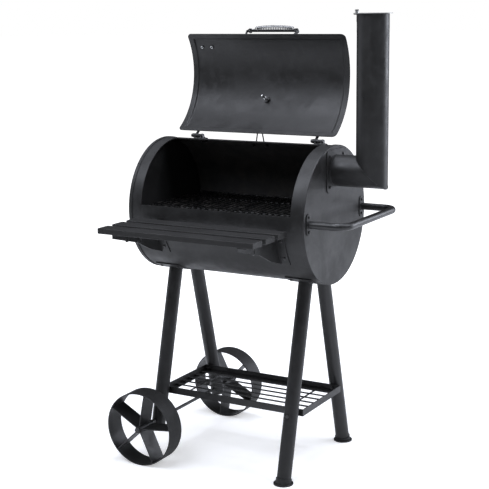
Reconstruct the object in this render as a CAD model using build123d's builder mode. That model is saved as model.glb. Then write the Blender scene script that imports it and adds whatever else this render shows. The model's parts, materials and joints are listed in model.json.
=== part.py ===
from build123d import *
import os
from math import cos, degrees, radians, sin, sqrt

# A barrel smoker grill on two wheels and two feet, modelled with its lid open against the lid stop.
# Millimetres. The origin is on the ground, under the middle of the whole object.
# +X runs along the barrel to the chimney end, +Y to the back, +Z up.

# ---- driving dimensions ----------------------------------------------------------------------
BARREL = Vector(-60, 61, 759)        # middle of the barrel's axis
BARREL_RADIUS = 200                 # outside of the shell
BARREL_LENGTH = 582                 # over the two end plates
SHEET = 2                           # shell, lid and end plates
RIM_TURN = 11                       # how far an end plate's rim wraps over the shell
OPENING_HALF = 248                  # half length of the opening
OPENING_ANGLES = (90.7, 173.8)      # back edge and front lip, from +Y up over the top

LID_HALF = 269                      # half width of the lid
LID_ANGLES = (86.5, 181)             # hinge edge and handle edge when shut
LID_RIM_RADIUS = 201.5              # inside of the lid's rim
LID_STEP = 4                        # how far the panel stands out past the rim
LID_RIM_WIDTH = 18
LID_OPENING = 146                   # degrees from shut to open
HINGE_PIN = (30, 206)               # from the barrel axis, back and up
HINGE_STARTS = (-205, 203)          # left end of each hinge
THERMOMETER_ANGLE = 122.9
STEM_LENGTH = 40                    # from the lid's outside to the stem's tip
STEM_THREAD = 18                    # thicker, threaded part of it
COLD_MARK = 135                     # where the needle rests, turned left from straight up
BADGE_ANGLE = 167.7
BADGE_X = -211
GRIP_ANGLE, GRIP_RADIUS = 174.5, 273
COIL_HALF, COIL_MIDDLE, COIL_END, COIL_WIRE = 68, 10.5, 6.8, 3.2
EYE_X = 79
EYE_PAD = 7.5                       # round pad under each eye of the coil
BRIDGE_WIDTH = 7
STOP_PEAK = (79.5, 237)             # top of the lid stop from the barrel axis, back and up

CHIMNEY_X = 403                     # chimney axis from the barrel's middle
CHIMNEY_TOP = 1326
CHIMNEY_RADIUS = 45
DAMPER_RADIUS = 54
PIPE_WALL = 1.5
FLUE_RISE = 130                     # flue above the barrel axis
FLANGE_HALF = 61
FLANGE_BOLT = 44
PLATE_THICKNESS = 3

PUSH_REACH = 404                    # push handle's grip from the barrel's middle
PUSH_HALF = 175
PUSH_TUBE = 10.5
PUSH_BOLT = 21

SHELF_TOP = 745
SHELF_HALF = 250
SLAT_DEPTH = 50
SLAT_PITCH = 69.5
SLAT_THICKNESS = 16
SHELF_FRONT = -412                  # front edge from the barrel axis
BRACKET_X = 201
BRACKET_SHEET = 2.5
BRACKET_FLANGE = 28                 # both brackets turn their flanges to the right
BRACKET_FRONT = -409                # front end of a bracket, from the barrel axis
BRACKET_NOSE = 11                   # depth of its web there
FLANGE_BACK = -204                  # back end of the flange under the slats
HOOKS = (-166, -124, 238)
HOOK_WIRE = 1.75

LEG_RADIUS = 21
LEG_WALL = 1.5
LEG_X = 223
LEG_FOOT_Y = 201                    # leg axis at the ground
LEG_SPLAY = 0.255                   # sideways run for each mm of height
FOOT_DISC = 4

WHEEL_RADIUS = 112
WHEEL_WIDTH = 64
WHEEL_Y = 248
WHEEL_X = -225
BAR = 3                             # flat bar of the rims and spokes
AXLE_RADIUS = 5
HUB_RADIUS = 9
SPOKES = 5
SPOKE_ANGLES = {"front": 7, "back": 45}

RACK_X = (-236, 249)
RACK_HALF = 127
RACK_TOP = 204
RAIL = 20
RAIL_THICKNESS = 2.5
ROD_RADIUS = 2.5
RACK_RODS = 6
RACK_CROSS = (-164, 176)

GRATE_RISE = 5.2                    # cooking grate's frame above the barrel axis
CHARCOAL_DROP = 118                 # charcoal grate's frame below it

BOLT_RADIUS = 3
BOLT_HOLE = 3.3
BOLT_LENGTH = 12
NUT_HEIGHT = 5
SMALL_BOLT_RADIUS = 2.5             # on the lid
SMALL_BOLT_HOLE = 2.8
SMALL_NUT_HEIGHT = 4
GAP = 0.2                           # between parts that lie against each other
RUNNING = 0.08                      # radial clearance of turning fits

END_INSIDE = BARREL_LENGTH / 2 - SHEET
END_OUTSIDE = BARREL_LENGTH / 2
SHELL_INSIDE = BARREL_RADIUS - SHEET
LID_PANEL_RADIUS = LID_RIM_RADIUS + LID_STEP
LID_OUTSIDE = LID_PANEL_RADIUS + SHEET
FLUE_Z = BARREL.Z + FLUE_RISE

pieces = {}


# ---- helpers -----------------------------------------------------------------------------------
def at(x, y, z):
    """A point given from the barrel's middle in plan and from the ground in height."""
    return Vector(BARREL.X + x, BARREL.Y + y, z)


def section(x):
    """Plane across the barrel axis at x: its own x runs to the back, its own y up."""
    return Plane(origin=BARREL + Vector(x, 0, 0), x_dir=(0, 1, 0), z_dir=(1, 0, 0))


def radial(x, angle, radius):
    """Plane that touches a cylinder about the barrel axis, facing away from the axis."""
    out = Vector(0, cos(radians(angle)), sin(radians(angle)))
    return Plane(origin=BARREL + Vector(x, 0, 0) + out * radius, x_dir=(1, 0, 0), z_dir=out)


def end_face(y, z):
    """Plane on the outside of the right end plate, at y and z from the barrel axis."""
    return Plane(origin=BARREL + Vector(END_OUTSIDE, y, z), x_dir=(0, 1, 0), z_dir=(1, 0, 0))


def arc_band(inner, outer, start, end):
    """Flat face between two radii and two angles."""
    with BuildSketch() as band:
        with BuildLine():
            low = CenterArc((0, 0), inner, start, end - start)
            high = CenterArc((0, 0), outer, start, end - start)
            Line(low @ 0, high @ 0)
            Line(low @ 1, high @ 1)
        make_face()
    return band.sketch


def curved_plate(inner, outer, start, end, x_from, x_to):
    """Part of a tube about the barrel axis."""
    with BuildPart() as plate:
        with BuildSketch(section(x_from)):
            add(arc_band(inner, outer, start, end))
        extrude(amount=x_to - x_from)
    return plate.part


def copies(piece, places):
    """The same piece at several places, as one group of solids."""
    with BuildPart() as group:
        with Locations(*places):
            add(piece)
    return group.part


def drill(part, places, radius, depth):
    """The part with a round hole through it at each place."""
    with BuildPart() as drilled:
        add(part)
        with Locations(*places):
            Cylinder(radius, depth, mode=Mode.SUBTRACT)
    return drilled.part


def domed_bolt(length, head=5.5, shank=BOLT_RADIUS):
    """Domed head above its seat, shank below it."""
    with BuildPart() as bolt:
        Cylinder(head, 3.4, align=(Align.CENTER, Align.CENTER, Align.MIN))
        fillet(bolt.edges().group_by(Axis.Z)[-1], 2.2)
        Cylinder(shank, length, align=(Align.CENTER, Align.CENTER, Align.MAX))
    return bolt.part


def hex_nut(height=5, across=10, hole=BOLT_RADIUS + 0.05):
    """Nut standing on its seat."""
    with BuildPart() as nut:
        with BuildSketch():
            RegularPolygon(across / 2, 6, major_radius=False)
            Circle(hole, mode=Mode.SUBTRACT)
        extrude(amount=height)
    return nut.part


def ring(plane, outer, inner, height):
    """Washer, spacer or tube standing on a plane."""
    with BuildPart() as tube:
        with BuildSketch(plane):
            Circle(outer)
            Circle(inner, mode=Mode.SUBTRACT)
        extrude(amount=height)
    return tube.part


def box_between(low, high):
    """Box between two corners, given as at() gives them."""
    size = high - low
    with BuildPart() as block:
        with Locations(low):
            Box(size.X, size.Y, size.Z, align=(Align.MIN, Align.MIN, Align.MIN))
    return block.part


def opened(part):
    """A lid piece, modelled shut, turned back to where the lid rests open."""
    pin = Axis(BARREL + Vector(0, *HINGE_PIN), (1, 0, 0))
    return part.rotate(pin, -LID_OPENING)


# ---- where the fasteners go ----------------------------------------------------------------------
HINGE_WIDTH = 36
BRACKET_BOLTS = [(start + 21 + dx, 72.5) for start in HINGE_STARTS for dx in (-7, 7)]
STOP_BOLTS = [(dx, 66) for dx in (-22, 22)]
SHELF_BOLTS = [(side * BRACKET_X + 16, angle) for side in (-1, 1) for angle in (194, 210)]
SADDLE_BOLTS = [(side * LEG_X + dx, angle) for side in (-1, 1) for dx in (-30, 30) for angle in (244, 296)]
SHELL_BOLTS = BRACKET_BOLTS + STOP_BOLTS + SHELF_BOLTS + SADDLE_BOLTS
FLANGE_BOLTS = [(y, FLUE_RISE + rise) for y in (-FLANGE_BOLT, FLANGE_BOLT)
                for rise in (-FLANGE_BOLT, FLANGE_BOLT)]
PUSH_BOLTS = [(y, z) for y in (-PUSH_HALF, PUSH_HALF) for z in (-PUSH_BOLT, PUSH_BOLT)]
BADGE_BOLTS = [(BADGE_X + dx, BADGE_ANGLE) for dx in (-17, 17)]


def around(spots, radius):
    """Planes at (x, angle) spots, touching a cylinder of the given radius about the barrel axis."""
    return [radial(x, angle, radius) for x, angle in spots]


def on_end(spots, distance):
    """Planes at (y, z) spots, this far out from the right end plate."""
    return [end_face(y, z).offset(distance) for y, z in spots]


# ---- barrel --------------------------------------------------------------------------------------
with BuildPart() as barrel_shell:
    with BuildSketch(section(-END_INSIDE + 0.1)):
        Circle(BARREL_RADIUS)
        Circle(SHELL_INSIDE, mode=Mode.SUBTRACT)
    extrude(amount=2 * END_INSIDE - 0.2)
    with BuildSketch(section(-OPENING_HALF)):
        add(arc_band(BARREL_RADIUS - 20, BARREL_RADIUS + 20, *OPENING_ANGLES))
    extrude(amount=2 * OPENING_HALF, mode=Mode.SUBTRACT)
pieces["barrel_shell"] = drill(barrel_shell.part, around(SHELL_BOLTS, BARREL_RADIUS), BOLT_HOLE, 30)


def end_plate(side):
    """Pressed disc whose rim wraps over the end of the shell."""
    with BuildPart() as plate:
        with BuildSketch(section(side * (END_OUTSIDE - RIM_TURN))):
            Circle(BARREL_RADIUS + SHEET)
        extrude(amount=side * RIM_TURN)
        outer_edge = plate.edges().filter_by(GeomType.CIRCLE).sort_by(Axis.X)[-1 if side > 0 else 0]
        fillet(outer_edge, 1.6)
        with BuildSketch(section(side * (END_OUTSIDE - RIM_TURN - 1))):
            Circle(BARREL_RADIUS + 0.1)
        extrude(amount=side * (RIM_TURN + 1 - SHEET), mode=Mode.SUBTRACT)
    return plate.part


pieces["end_plate_left"] = end_plate(-1)
right_plate = drill(end_plate(1), on_end(FLANGE_BOLTS + PUSH_BOLTS, 0), BOLT_HOLE, 20)
pieces["end_plate_right"] = drill(right_plate, [end_face(0, FLUE_RISE)], CHIMNEY_RADIUS - 2, 20)

# ledges that carry the cooking grates
with BuildPart() as grate_ledges:
    with BuildSketch(section(GAP - END_INSIDE)):
        for side in (-1, 1):
            with Locations((side * 196.3, -5)):
                Rectangle(1.8, 14)
            with Locations((side * 188.4, 1)):
                Rectangle(14, 2)
    extrude(amount=2 * (END_INSIDE - GAP))
pieces["grate_ledges"] = grate_ledges.part


# ---- grates --------------------------------------------------------------------------------------
def wire_grate(x_from, x_to, half_depth, z, frame, wire, count, along_x):
    """Welded grate: a frame of round wire, bars laid in it, and cross wires under them."""
    with BuildPart() as grate:
        with BuildLine() as frame_line:
            Polyline(at(x_from, -half_depth, z), at(x_to, -half_depth, z),
                     at(x_to, half_depth, z), at(x_from, half_depth, z), close=True)
        with BuildSketch(Plane(origin=at((x_from + x_to) / 2, -half_depth, z), z_dir=(1, 0, 0))):
            Circle(frame)
        sweep(path=frame_line.wire(), transition=Transition.RIGHT)
        if along_x:
            step = 2 * half_depth / (count + 1)
            for i in range(1, count + 1):
                with BuildSketch(Plane(origin=at(x_from, i * step - half_depth, z), z_dir=(1, 0, 0))):
                    Circle(wire)
                extrude(amount=x_to - x_from)
            for x in (x_from + 0.25 * (x_to - x_from), x_from + 0.75 * (x_to - x_from)):
                with BuildSketch(Plane(origin=at(x, -half_depth, z - wire), z_dir=(0, 1, 0))):
                    Circle(wire)
                extrude(amount=2 * half_depth)
        else:
            step = (x_to - x_from) / (count + 1)
            for i in range(1, count + 1):
                with BuildSketch(Plane(origin=at(x_from + i * step, -half_depth, z), z_dir=(0, 1, 0))):
                    Circle(wire)
                extrude(amount=2 * half_depth)
            for y in (-half_depth / 2, half_depth / 2):
                with BuildSketch(Plane(origin=at(x_from, y, z - wire), z_dir=(1, 0, 0))):
                    Circle(wire)
                extrude(amount=x_to - x_from)
    return grate.part


grate_z = BARREL.Z + GRATE_RISE
pieces["cooking_grate_left"] = wire_grate(-275, -5, 187, grate_z, 3, 2, 13, False)
pieces["cooking_grate_right"] = wire_grate(5, 275, 187, grate_z, 3, 2, 13, False)
charcoal_z = BARREL.Z - CHARCOAL_DROP
pieces["charcoal_grate"] = wire_grate(-270, 270, 154.8, charcoal_z, 3, 2.5, 12, True)


# ---- lid, modelled shut and then opened ------------------------------------------------------------
rim_turn = degrees(LID_RIM_WIDTH / LID_OUTSIDE)
panel_angles = (LID_ANGLES[0] + rim_turn, LID_ANGLES[1] - rim_turn)
with BuildPart() as lid:
    with BuildSketch(section(-LID_HALF)):
        add(arc_band(LID_RIM_RADIUS, LID_RIM_RADIUS + SHEET, *LID_ANGLES))
    extrude(amount=2 * LID_HALF)
    with BuildSketch(section(LID_RIM_WIDTH - LID_HALF)):
        add(arc_band(LID_RIM_RADIUS, LID_OUTSIDE, *panel_angles))
    extrude(amount=2 * (LID_HALF - LID_RIM_WIDTH))
    with BuildSketch(section(LID_RIM_WIDTH - LID_HALF + SHEET)):
        add(arc_band(LID_RIM_RADIUS - 1, LID_PANEL_RADIUS, panel_angles[0] + 0.55, panel_angles[1] - 0.55))
    extrude(amount=2 * (LID_HALF - LID_RIM_WIDTH - SHEET), mode=Mode.SUBTRACT)
    # rounded corners, cut square to the middle of the lid
    lid_middle = sum(LID_ANGLES) / 2
    lid_chord = 2 * (LID_RIM_RADIUS + SHEET) * sin(radians((LID_ANGLES[1] - LID_ANGLES[0]) / 2))
    with BuildSketch(radial(0, lid_middle, 100)):
        RectangleRounded(2 * LID_HALF, lid_chord + 1, 14)
    extrude(amount=200, mode=Mode.INTERSECT)
badge_places = around(BADGE_BOLTS, LID_OUTSIDE)
lid_drilled = drill(lid.part, badge_places, SMALL_BOLT_HOLE, 30)
thermometer_place = radial(0, THERMOMETER_ANGLE, LID_OUTSIDE)
pieces["lid"] = opened(drill(lid_drilled, [thermometer_place], 4.2, 30))

# thermometer: stem through the lid, housing with dial and glass outside, nut inside
stem_axis = Axis(thermometer_place.origin, thermometer_place.z_dir)
with BuildPart() as thermometer_housing:
    with BuildSketch(thermometer_place.offset(3)):
        Circle(28)
    extrude(amount=12)
    with BuildSketch(thermometer_place.offset(5)):
        Circle(26)
    extrude(amount=12, mode=Mode.SUBTRACT)
    with BuildSketch(thermometer_place.offset(0.3)):
        Circle(9)
    extrude(amount=3)
    with BuildSketch(thermometer_place.offset(0.3)):
        Circle(4)
    extrude(amount=-STEM_THREAD)
    with BuildSketch(thermometer_place.offset(1 - STEM_THREAD)):
        Circle(3)
    extrude(amount=STEM_THREAD - 1 - STEM_LENGTH)
    fillet(thermometer_housing.edges().filter_by(GeomType.CIRCLE).sort_by(stem_axis)[0], 1.6)
pieces["thermometer_housing"] = opened(thermometer_housing.part)
dial_plane = thermometer_place.offset(5.2)
with BuildPart() as thermometer_dial:
    with BuildSketch(dial_plane):
        Circle(25.8)
        Circle(1.2, mode=Mode.SUBTRACT)
    extrude(amount=1)
pieces["thermometer_dial"] = opened(thermometer_dial.part)
needle_side = dial_plane.x_dir * cos(radians(COLD_MARK)) + dial_plane.y_dir * sin(radians(COLD_MARK))
needle_start = dial_plane.offset(1.4)
needle_plane = Plane(origin=needle_start.origin, x_dir=needle_side, z_dir=needle_start.z_dir)
with BuildPart() as thermometer_needle:
    with BuildSketch(needle_plane):
        with BuildLine():
            Polyline((-1.4, -7), (1.4, -7), (1.2, 6), (0, 20), (-1.2, 6), close=True)
        make_face()
        Circle(3)
    extrude(amount=0.8)
    with BuildSketch(dial_plane.offset(0.2)):
        Circle(1.15)
    extrude(amount=1.3)
pieces["thermometer_needle"] = opened(thermometer_needle.part)
with BuildPart() as thermometer_glass:
    with BuildSketch(thermometer_place.offset(13)):
        Circle(25.8)
    extrude(amount=1.6)
pieces["thermometer_glass"] = opened(thermometer_glass.part)
thermometer_nut = hex_nut(8, 18, 4.05)
inside_nut_place = thermometer_place.offset(-SHEET - 8 - GAP)
pieces["thermometer_nut"] = opened(copies(thermometer_nut, [inside_nut_place]))

# blank badge plate near the lid's lower left corner
with BuildPart() as badge_plate:
    with BuildSketch(radial(BADGE_X, BADGE_ANGLE, LID_OUTSIDE + 0.3)):
        RectangleRounded(52, 18, 3)
    extrude(amount=1.5)
pieces["badge_plate"] = opened(drill(badge_plate.part, badge_places, SMALL_BOLT_HOLE, 20))
badge_seats = [place.offset(1.9) for place in badge_places]
pieces["badge_bolts"] = opened(copies(domed_bolt(9, 3.8, SMALL_BOLT_RADIUS), badge_seats))

# spring handle: a bent flat bar stands on the lid, and the coil sits over it between two bolts
handle_foot = radial(0, GRIP_ANGLE, LID_OUTSIDE)
handle_plane = Plane(origin=handle_foot.origin, x_dir=(1, 0, 0), z_dir=-handle_foot.y_dir)
grip_height = GRIP_RADIUS - LID_OUTSIDE
bridge_top = grip_height - COIL_MIDDLE - 2.5
with BuildPart() as handle_bridge:
    with BuildSketch(handle_plane):
        with BuildLine() as bridge_line:
            FilletPolyline((-52, 1.8), (-74, 1.8), (-90, bridge_top),
                           (90, bridge_top), (74, 1.8), (52, 1.8), radius=4)
        trace(bridge_line.line, 3)
    extrude(amount=BRIDGE_WIDTH / 2, both=True)


def on_handle(x, height):
    """Plane across the handle at x, at this height above the lid and facing away from it."""
    place = handle_foot.offset(height)
    return Plane(origin=place.origin + Vector(x, 0, 0), x_dir=(1, 0, 0), z_dir=place.z_dir)


eye_places = [on_handle(side * EYE_X, bridge_top + 1.5) for side in (-1, 1)]
with BuildPart() as padded_bridge:
    add(handle_bridge.part)
    for place in eye_places:
        add(ring(place, EYE_PAD, SMALL_BOLT_HOLE, -3))
pieces["handle_bridge"] = opened(drill(padded_bridge.part, eye_places, SMALL_BOLT_HOLE, 12))

with BuildPart() as handle_coil:
    with BuildSketch(handle_plane):
        with BuildLine():
            outer = ThreePointArc((-COIL_HALF, grip_height + COIL_END), (0, grip_height + COIL_MIDDLE),
                                  (COIL_HALF, grip_height + COIL_END))
            inner = ThreePointArc((-COIL_HALF, grip_height + COIL_END - COIL_WIRE),
                                  (0, grip_height + COIL_MIDDLE - COIL_WIRE),
                                  (COIL_HALF, grip_height + COIL_END - COIL_WIRE))
            Line(outer @ 0, inner @ 0)
            Line(outer @ 1, inner @ 1)
        make_face()
    revolve(axis=Axis(on_handle(0, grip_height).origin, (1, 0, 0)))
    for side, place in zip((-1, 1), eye_places):
        with BuildSketch(place.offset(GAP)):
            Circle(7)
            Circle(SMALL_BOLT_HOLE, mode=Mode.SUBTRACT)
        extrude(amount=COIL_WIRE)
        start = on_handle(side * (EYE_X - 6), bridge_top + 1.5 + GAP + COIL_WIRE / 2).origin
        end = on_handle(side * (COIL_HALF - 1), grip_height - COIL_END + COIL_WIRE / 2).origin
        with BuildSketch(Plane(origin=start, z_dir=end - start)):
            Circle(COIL_WIRE / 2)
        extrude(amount=(end - start).length)
pieces["handle_coil"] = opened(handle_coil.part)
eye_seats = [place.offset(COIL_WIRE + 2 * GAP) for place in eye_places]
pieces["handle_bolts"] = opened(copies(domed_bolt(12, 5, SMALL_BOLT_RADIUS), eye_seats))
small_nut_seats = [place.offset(-3 - GAP - SMALL_NUT_HEIGHT) for place in eye_places]
small_nut_seats += [place.offset(-SHEET - GAP - SMALL_NUT_HEIGHT) for place in badge_places]
small_nut = hex_nut(SMALL_NUT_HEIGHT, 8, SMALL_BOLT_RADIUS + 0.05)
pieces["lid_nuts"] = opened(copies(small_nut, small_nut_seats))


# ---- hinges ----------------------------------------------------------------------------------------
pin_y, pin_z = HINGE_PIN


# a U bracket on the shell for each hinge: a curved foot with an ear at each end of the pin
with BuildPart() as hinge_brackets:
    for start in HINGE_STARTS:
        with BuildSketch(section(start + 10)):
            add(arc_band(BARREL_RADIUS + GAP, BARREL_RADIUS + GAP + SHEET, 69, 85))
        extrude(amount=22)
        for x in (start + 10, start + 30):
            with BuildSketch(section(x)):
                with BuildLine():
                    Polyline((14.5, BARREL_RADIUS - 0.1), (pin_y - 6.5, pin_z), (pin_y, pin_z + 6.5),
                             (pin_y + 6.5, pin_z), (62, 191), (40, 190), close=True)
                make_face()
                with Locations((pin_y, pin_z)):
                    Circle(6.5)
                    Circle(BOLT_RADIUS + 0.05, mode=Mode.SUBTRACT)
                add(arc_band(150, BARREL_RADIUS + GAP, 60, 95), mode=Mode.SUBTRACT)
            extrude(amount=SHEET)
pieces["hinge_brackets"] = drill(hinge_brackets.part, around(BRACKET_BOLTS, BARREL_RADIUS), BOLT_HOLE, 16)

# a strap on the lid for each hinge, with a narrow tongue that ends round the pin
tongue_foot = PolarLocations(LID_OUTSIDE + GAP, 1, start_angle=panel_angles[0] + 2).locations[0].position
with BuildPart() as hinge_straps:
    for start in HINGE_STARTS:
        with BuildSketch(section(start)):
            add(arc_band(LID_OUTSIDE + GAP, LID_OUTSIDE + GAP + SHEET, panel_angles[0] + 1, 101))
        extrude(amount=HINGE_WIDTH)
        with BuildSketch(section(start)):
            with BuildLine():
                Polyline((tongue_foot.X, tongue_foot.Y), (tongue_foot.X, tongue_foot.Y + SHEET),
                         (pin_y - 1.5, pin_z + 6.3), (pin_y - 1.5, pin_z + 6.3 - SHEET), close=True)
            make_face()
            with Locations((pin_y, pin_z)):
                Circle(6.4)
                Circle(BOLT_RADIUS + RUNNING, mode=Mode.SUBTRACT)
        extrude(amount=9)
pieces["hinge_straps"] = opened(hinge_straps.part)


def on_pin(x):
    """Plane across the hinge pins at x, facing right."""
    return Plane(origin=BARREL + Vector(x, pin_y, pin_z), x_dir=(0, 1, 0), z_dir=(1, 0, 0))


with BuildPart() as hinge_pin:
    Cylinder(BOLT_RADIUS, 38, align=(Align.CENTER, Align.CENTER, Align.MIN))
    with Locations((0, 0, 37.5)):
        Cylinder(6, 4, align=(Align.CENTER, Align.CENTER, Align.MIN))
pieces["hinge_pins"] = copies(hinge_pin.part, [on_pin(start - 5.5) for start in HINGE_STARTS])
hinge_spacer = ring(Plane.XY, 5.5, BOLT_RADIUS + 0.05, 17.6)
pieces["hinge_spacers"] = copies(hinge_spacer, [on_pin(start + 12 + GAP) for start in HINGE_STARTS])
hinge_nut_seats = [on_pin(start - GAP - NUT_HEIGHT) for start in HINGE_STARTS]

# lid stop: one bent wire behind the lid, with a flattened foot at each end
with BuildPart() as lid_stop:
    feet = [radial(side * 14, 66, BARREL_RADIUS + 1.9).origin for side in (-1, 1)]
    peak = BARREL + Vector(0, *STOP_PEAK)
    with BuildLine() as stop_line:
        FilletPolyline(feet[0], peak + Vector(-4.5, 0, 0), peak + Vector(4.5, 0, 0), feet[1], radius=4)
    with BuildSketch(Plane(origin=feet[0], z_dir=stop_line.line % 0)):
        Circle(2)
    sweep()
    for side in (-1, 1):
        with BuildSketch(radial(side * 19, 66, BARREL_RADIUS + GAP)):
            Rectangle(20, 12)
        extrude(amount=SHEET)
pieces["lid_stop"] = drill(lid_stop.part, around(STOP_BOLTS, BARREL_RADIUS), BOLT_HOLE, 16)


# ---- chimney ---------------------------------------------------------------------------------------
mitre = Plane(origin=at(CHIMNEY_X, 0, FLUE_Z), x_dir=(0, 1, 0), z_dir=(1, 0, 1))
with BuildPart() as chimney_pipe:
    with BuildSketch(Plane(origin=at(CHIMNEY_X, 0, FLUE_Z - 60))):
        Circle(CHIMNEY_RADIUS)
        Circle(CHIMNEY_RADIUS - PIPE_WALL, mode=Mode.SUBTRACT)
    extrude(amount=CHIMNEY_TOP - FLUE_Z + 60)
    split(bisect_by=mitre, keep=Keep.TOP)
pieces["chimney_pipe"] = chimney_pipe.part
stub_start = end_face(0, FLUE_RISE).offset(PLATE_THICKNESS)
with BuildPart() as chimney_elbow:
    with BuildSketch(stub_start):
        Circle(CHIMNEY_RADIUS)
        Circle(CHIMNEY_RADIUS - PIPE_WALL, mode=Mode.SUBTRACT)
    extrude(amount=CHIMNEY_X - END_OUTSIDE - PLATE_THICKNESS + 60)
    split(bisect_by=mitre, keep=Keep.BOTTOM)
pieces["chimney_elbow"] = chimney_elbow.part
with BuildPart() as chimney_flange:
    with BuildSketch(end_face(0, FLUE_RISE)):
        RectangleRounded(2 * FLANGE_HALF, 2 * FLANGE_HALF, 16)
        Circle(CHIMNEY_RADIUS - PIPE_WALL, mode=Mode.SUBTRACT)
    extrude(amount=PLATE_THICKNESS)
pieces["chimney_flange"] = drill(chimney_flange.part, on_end(FLANGE_BOLTS, 0), BOLT_HOLE, 20)

# damper: a disc that swings sideways about a bolt beside the pipe's mouth
damper_x = CHIMNEY_X - CHIMNEY_RADIUS - 4
lug_top = CHIMNEY_TOP - 0.5
with BuildPart() as damper_lug:
    with BuildSketch(Plane(origin=at(damper_x - 1, 0, lug_top - SHEET))):
        RectangleRounded(12, 14, 1.5)
    extrude(amount=SHEET)
    with BuildSketch(Plane(origin=at(damper_x + 3, 0, CHIMNEY_TOP - 22))):
        Rectangle(2, 14)
    extrude(amount=20)
    with BuildSketch(Plane(origin=at(CHIMNEY_X, 0, CHIMNEY_TOP - 30))):
        Circle(CHIMNEY_RADIUS + 0.1)
    extrude(amount=40, mode=Mode.SUBTRACT)
damper_axis = Plane(origin=at(damper_x, 0, lug_top))
pieces["damper_lug"] = drill(damper_lug.part, [damper_axis], BOLT_RADIUS + 0.05, 12)
disc_bottom = CHIMNEY_TOP + 0.4
with BuildPart() as damper_disc:
    with BuildSketch(Plane(origin=at(CHIMNEY_X, 0, disc_bottom))):
        Circle(DAMPER_RADIUS)
        with Locations((damper_x - CHIMNEY_X, 0)):
            Circle(BOLT_RADIUS + RUNNING, mode=Mode.SUBTRACT)
    extrude(amount=SHEET)
pieces["damper_disc"] = damper_disc.part
spacer_plane = Plane(origin=at(damper_x, 0, disc_bottom + SHEET + 0.3))
pieces["damper_spacer"] = ring(spacer_plane, 4.5, BOLT_RADIUS + 0.05, 5)
with BuildPart() as damper_bolt:
    with BuildSketch(spacer_plane.offset(5 + GAP)):
        RegularPolygon(5, 6, major_radius=False)
    extrude(amount=4)
    with BuildSketch(damper_axis.offset(-SHEET)):
        Circle(BOLT_RADIUS)
    extrude(amount=12)
pieces["damper_bolt"] = damper_bolt.part


# ---- push handle -----------------------------------------------------------------------------------
push_start = END_OUTSIDE + PLATE_THICKNESS
with BuildPart() as push_handle:
    with BuildLine():
        FilletPolyline(at(push_start, -PUSH_HALF, BARREL.Z), at(PUSH_REACH, -PUSH_HALF, BARREL.Z),
                       at(PUSH_REACH, PUSH_HALF, BARREL.Z), at(push_start, PUSH_HALF, BARREL.Z), radius=36)
    with BuildSketch(end_face(-PUSH_HALF, 0).offset(PLATE_THICKNESS)):
        Circle(PUSH_TUBE)
        Circle(PUSH_TUBE - 1.5, mode=Mode.SUBTRACT)
    sweep()
pieces["push_handle"] = push_handle.part
with BuildPart() as push_plates:
    for y in (-PUSH_HALF, PUSH_HALF):
        with BuildSketch(end_face(y, 0)):
            SlotOverall(62, 27, rotation=90)
        extrude(amount=PLATE_THICKNESS)
pieces["push_plates"] = drill(push_plates.part, on_end(PUSH_BOLTS, 0), BOLT_HOLE, 20)


# ---- front shelf -----------------------------------------------------------------------------------
slat_bottom = SHELF_TOP - SLAT_THICKNESS
slat_fronts = [SHELF_FRONT + i * SLAT_PITCH for i in range(3)]
for name, front in zip(("front", "middle", "back"), slat_fronts):
    low, high = at(-SHELF_HALF, front, slat_bottom), at(SHELF_HALF, front + SLAT_DEPTH, SHELF_TOP)
    with BuildPart() as slat:
        add(box_between(low, high))
        fillet(slat.edges().filter_by(Axis.X), 2)
    pieces["shelf_slat_" + name] = slat.part

screw_spots = [at(side * BRACKET_X + 15, front + SLAT_DEPTH / 2, slat_bottom)
               for side in (-1, 1) for front in slat_fronts]
screw_places = [Plane(origin=spot, z_dir=(0, 0, -1)) for spot in screw_spots]
web_drop = BARREL.Z - slat_bottom + GAP
seat_radius = BARREL_RADIUS + GAP
for name, side in (("left", -1), ("right", 1)):
    web_x = side * BRACKET_X
    flange_end = web_x + BRACKET_FLANGE
    with BuildPart() as shelf_bracket:
        with BuildSketch(section(web_x - BRACKET_SHEET / 2)):
            with BuildLine():
                Polyline((BRACKET_FRONT, -web_drop), (BRACKET_FRONT, -web_drop - BRACKET_NOSE),
                         (-292, -72), (-225, -103), (-164, -121), (-150, -web_drop), close=True)
            make_face()
            Circle(seat_radius, mode=Mode.SUBTRACT)
        extrude(amount=BRACKET_SHEET)
        add(box_between(at(web_x, BRACKET_FRONT, slat_bottom - GAP - BRACKET_SHEET),
                        at(flange_end, FLANGE_BACK, slat_bottom - GAP)))
        add(curved_plate(seat_radius, seat_radius + BRACKET_SHEET, 188.6, 217, web_x, flange_end))
    bracket = drill(shelf_bracket.part, around(SHELF_BOLTS, BARREL_RADIUS), BOLT_HOLE, 16)
    pieces["shelf_bracket_" + name] = drill(bracket, screw_places, 2.2, 12)
with BuildPart() as shelf_screw:
    Cylinder(4, 2.2, align=(Align.CENTER, Align.CENTER, Align.MIN))
    Cylinder(2, BRACKET_SHEET + 0.1, align=(Align.CENTER, Align.CENTER, Align.MAX))
screw_seats = [place.offset(BRACKET_SHEET + 0.3) for place in screw_places]
pieces["shelf_screws"] = copies(shelf_screw.part, screw_seats)

with BuildPart() as tool_hook:
    with BuildLine() as hook_line:
        FilletPolyline((0, 0, -0.1), (0, 0, -19), (0, -13, -19), (0, -13, -11), radius=4.5)
    with BuildSketch(Plane.XY.offset(-0.1)):
        Circle(HOOK_WIRE)
    sweep()
    with BuildSketch(Plane.XY.offset(-2.1)):
        Circle(5)
    extrude(amount=2)
hook_places = [Plane(origin=at(x, SHELF_FRONT + 30, slat_bottom)) for x in HOOKS]
pieces["tool_hooks"] = copies(tool_hook.part, hook_places)


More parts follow.
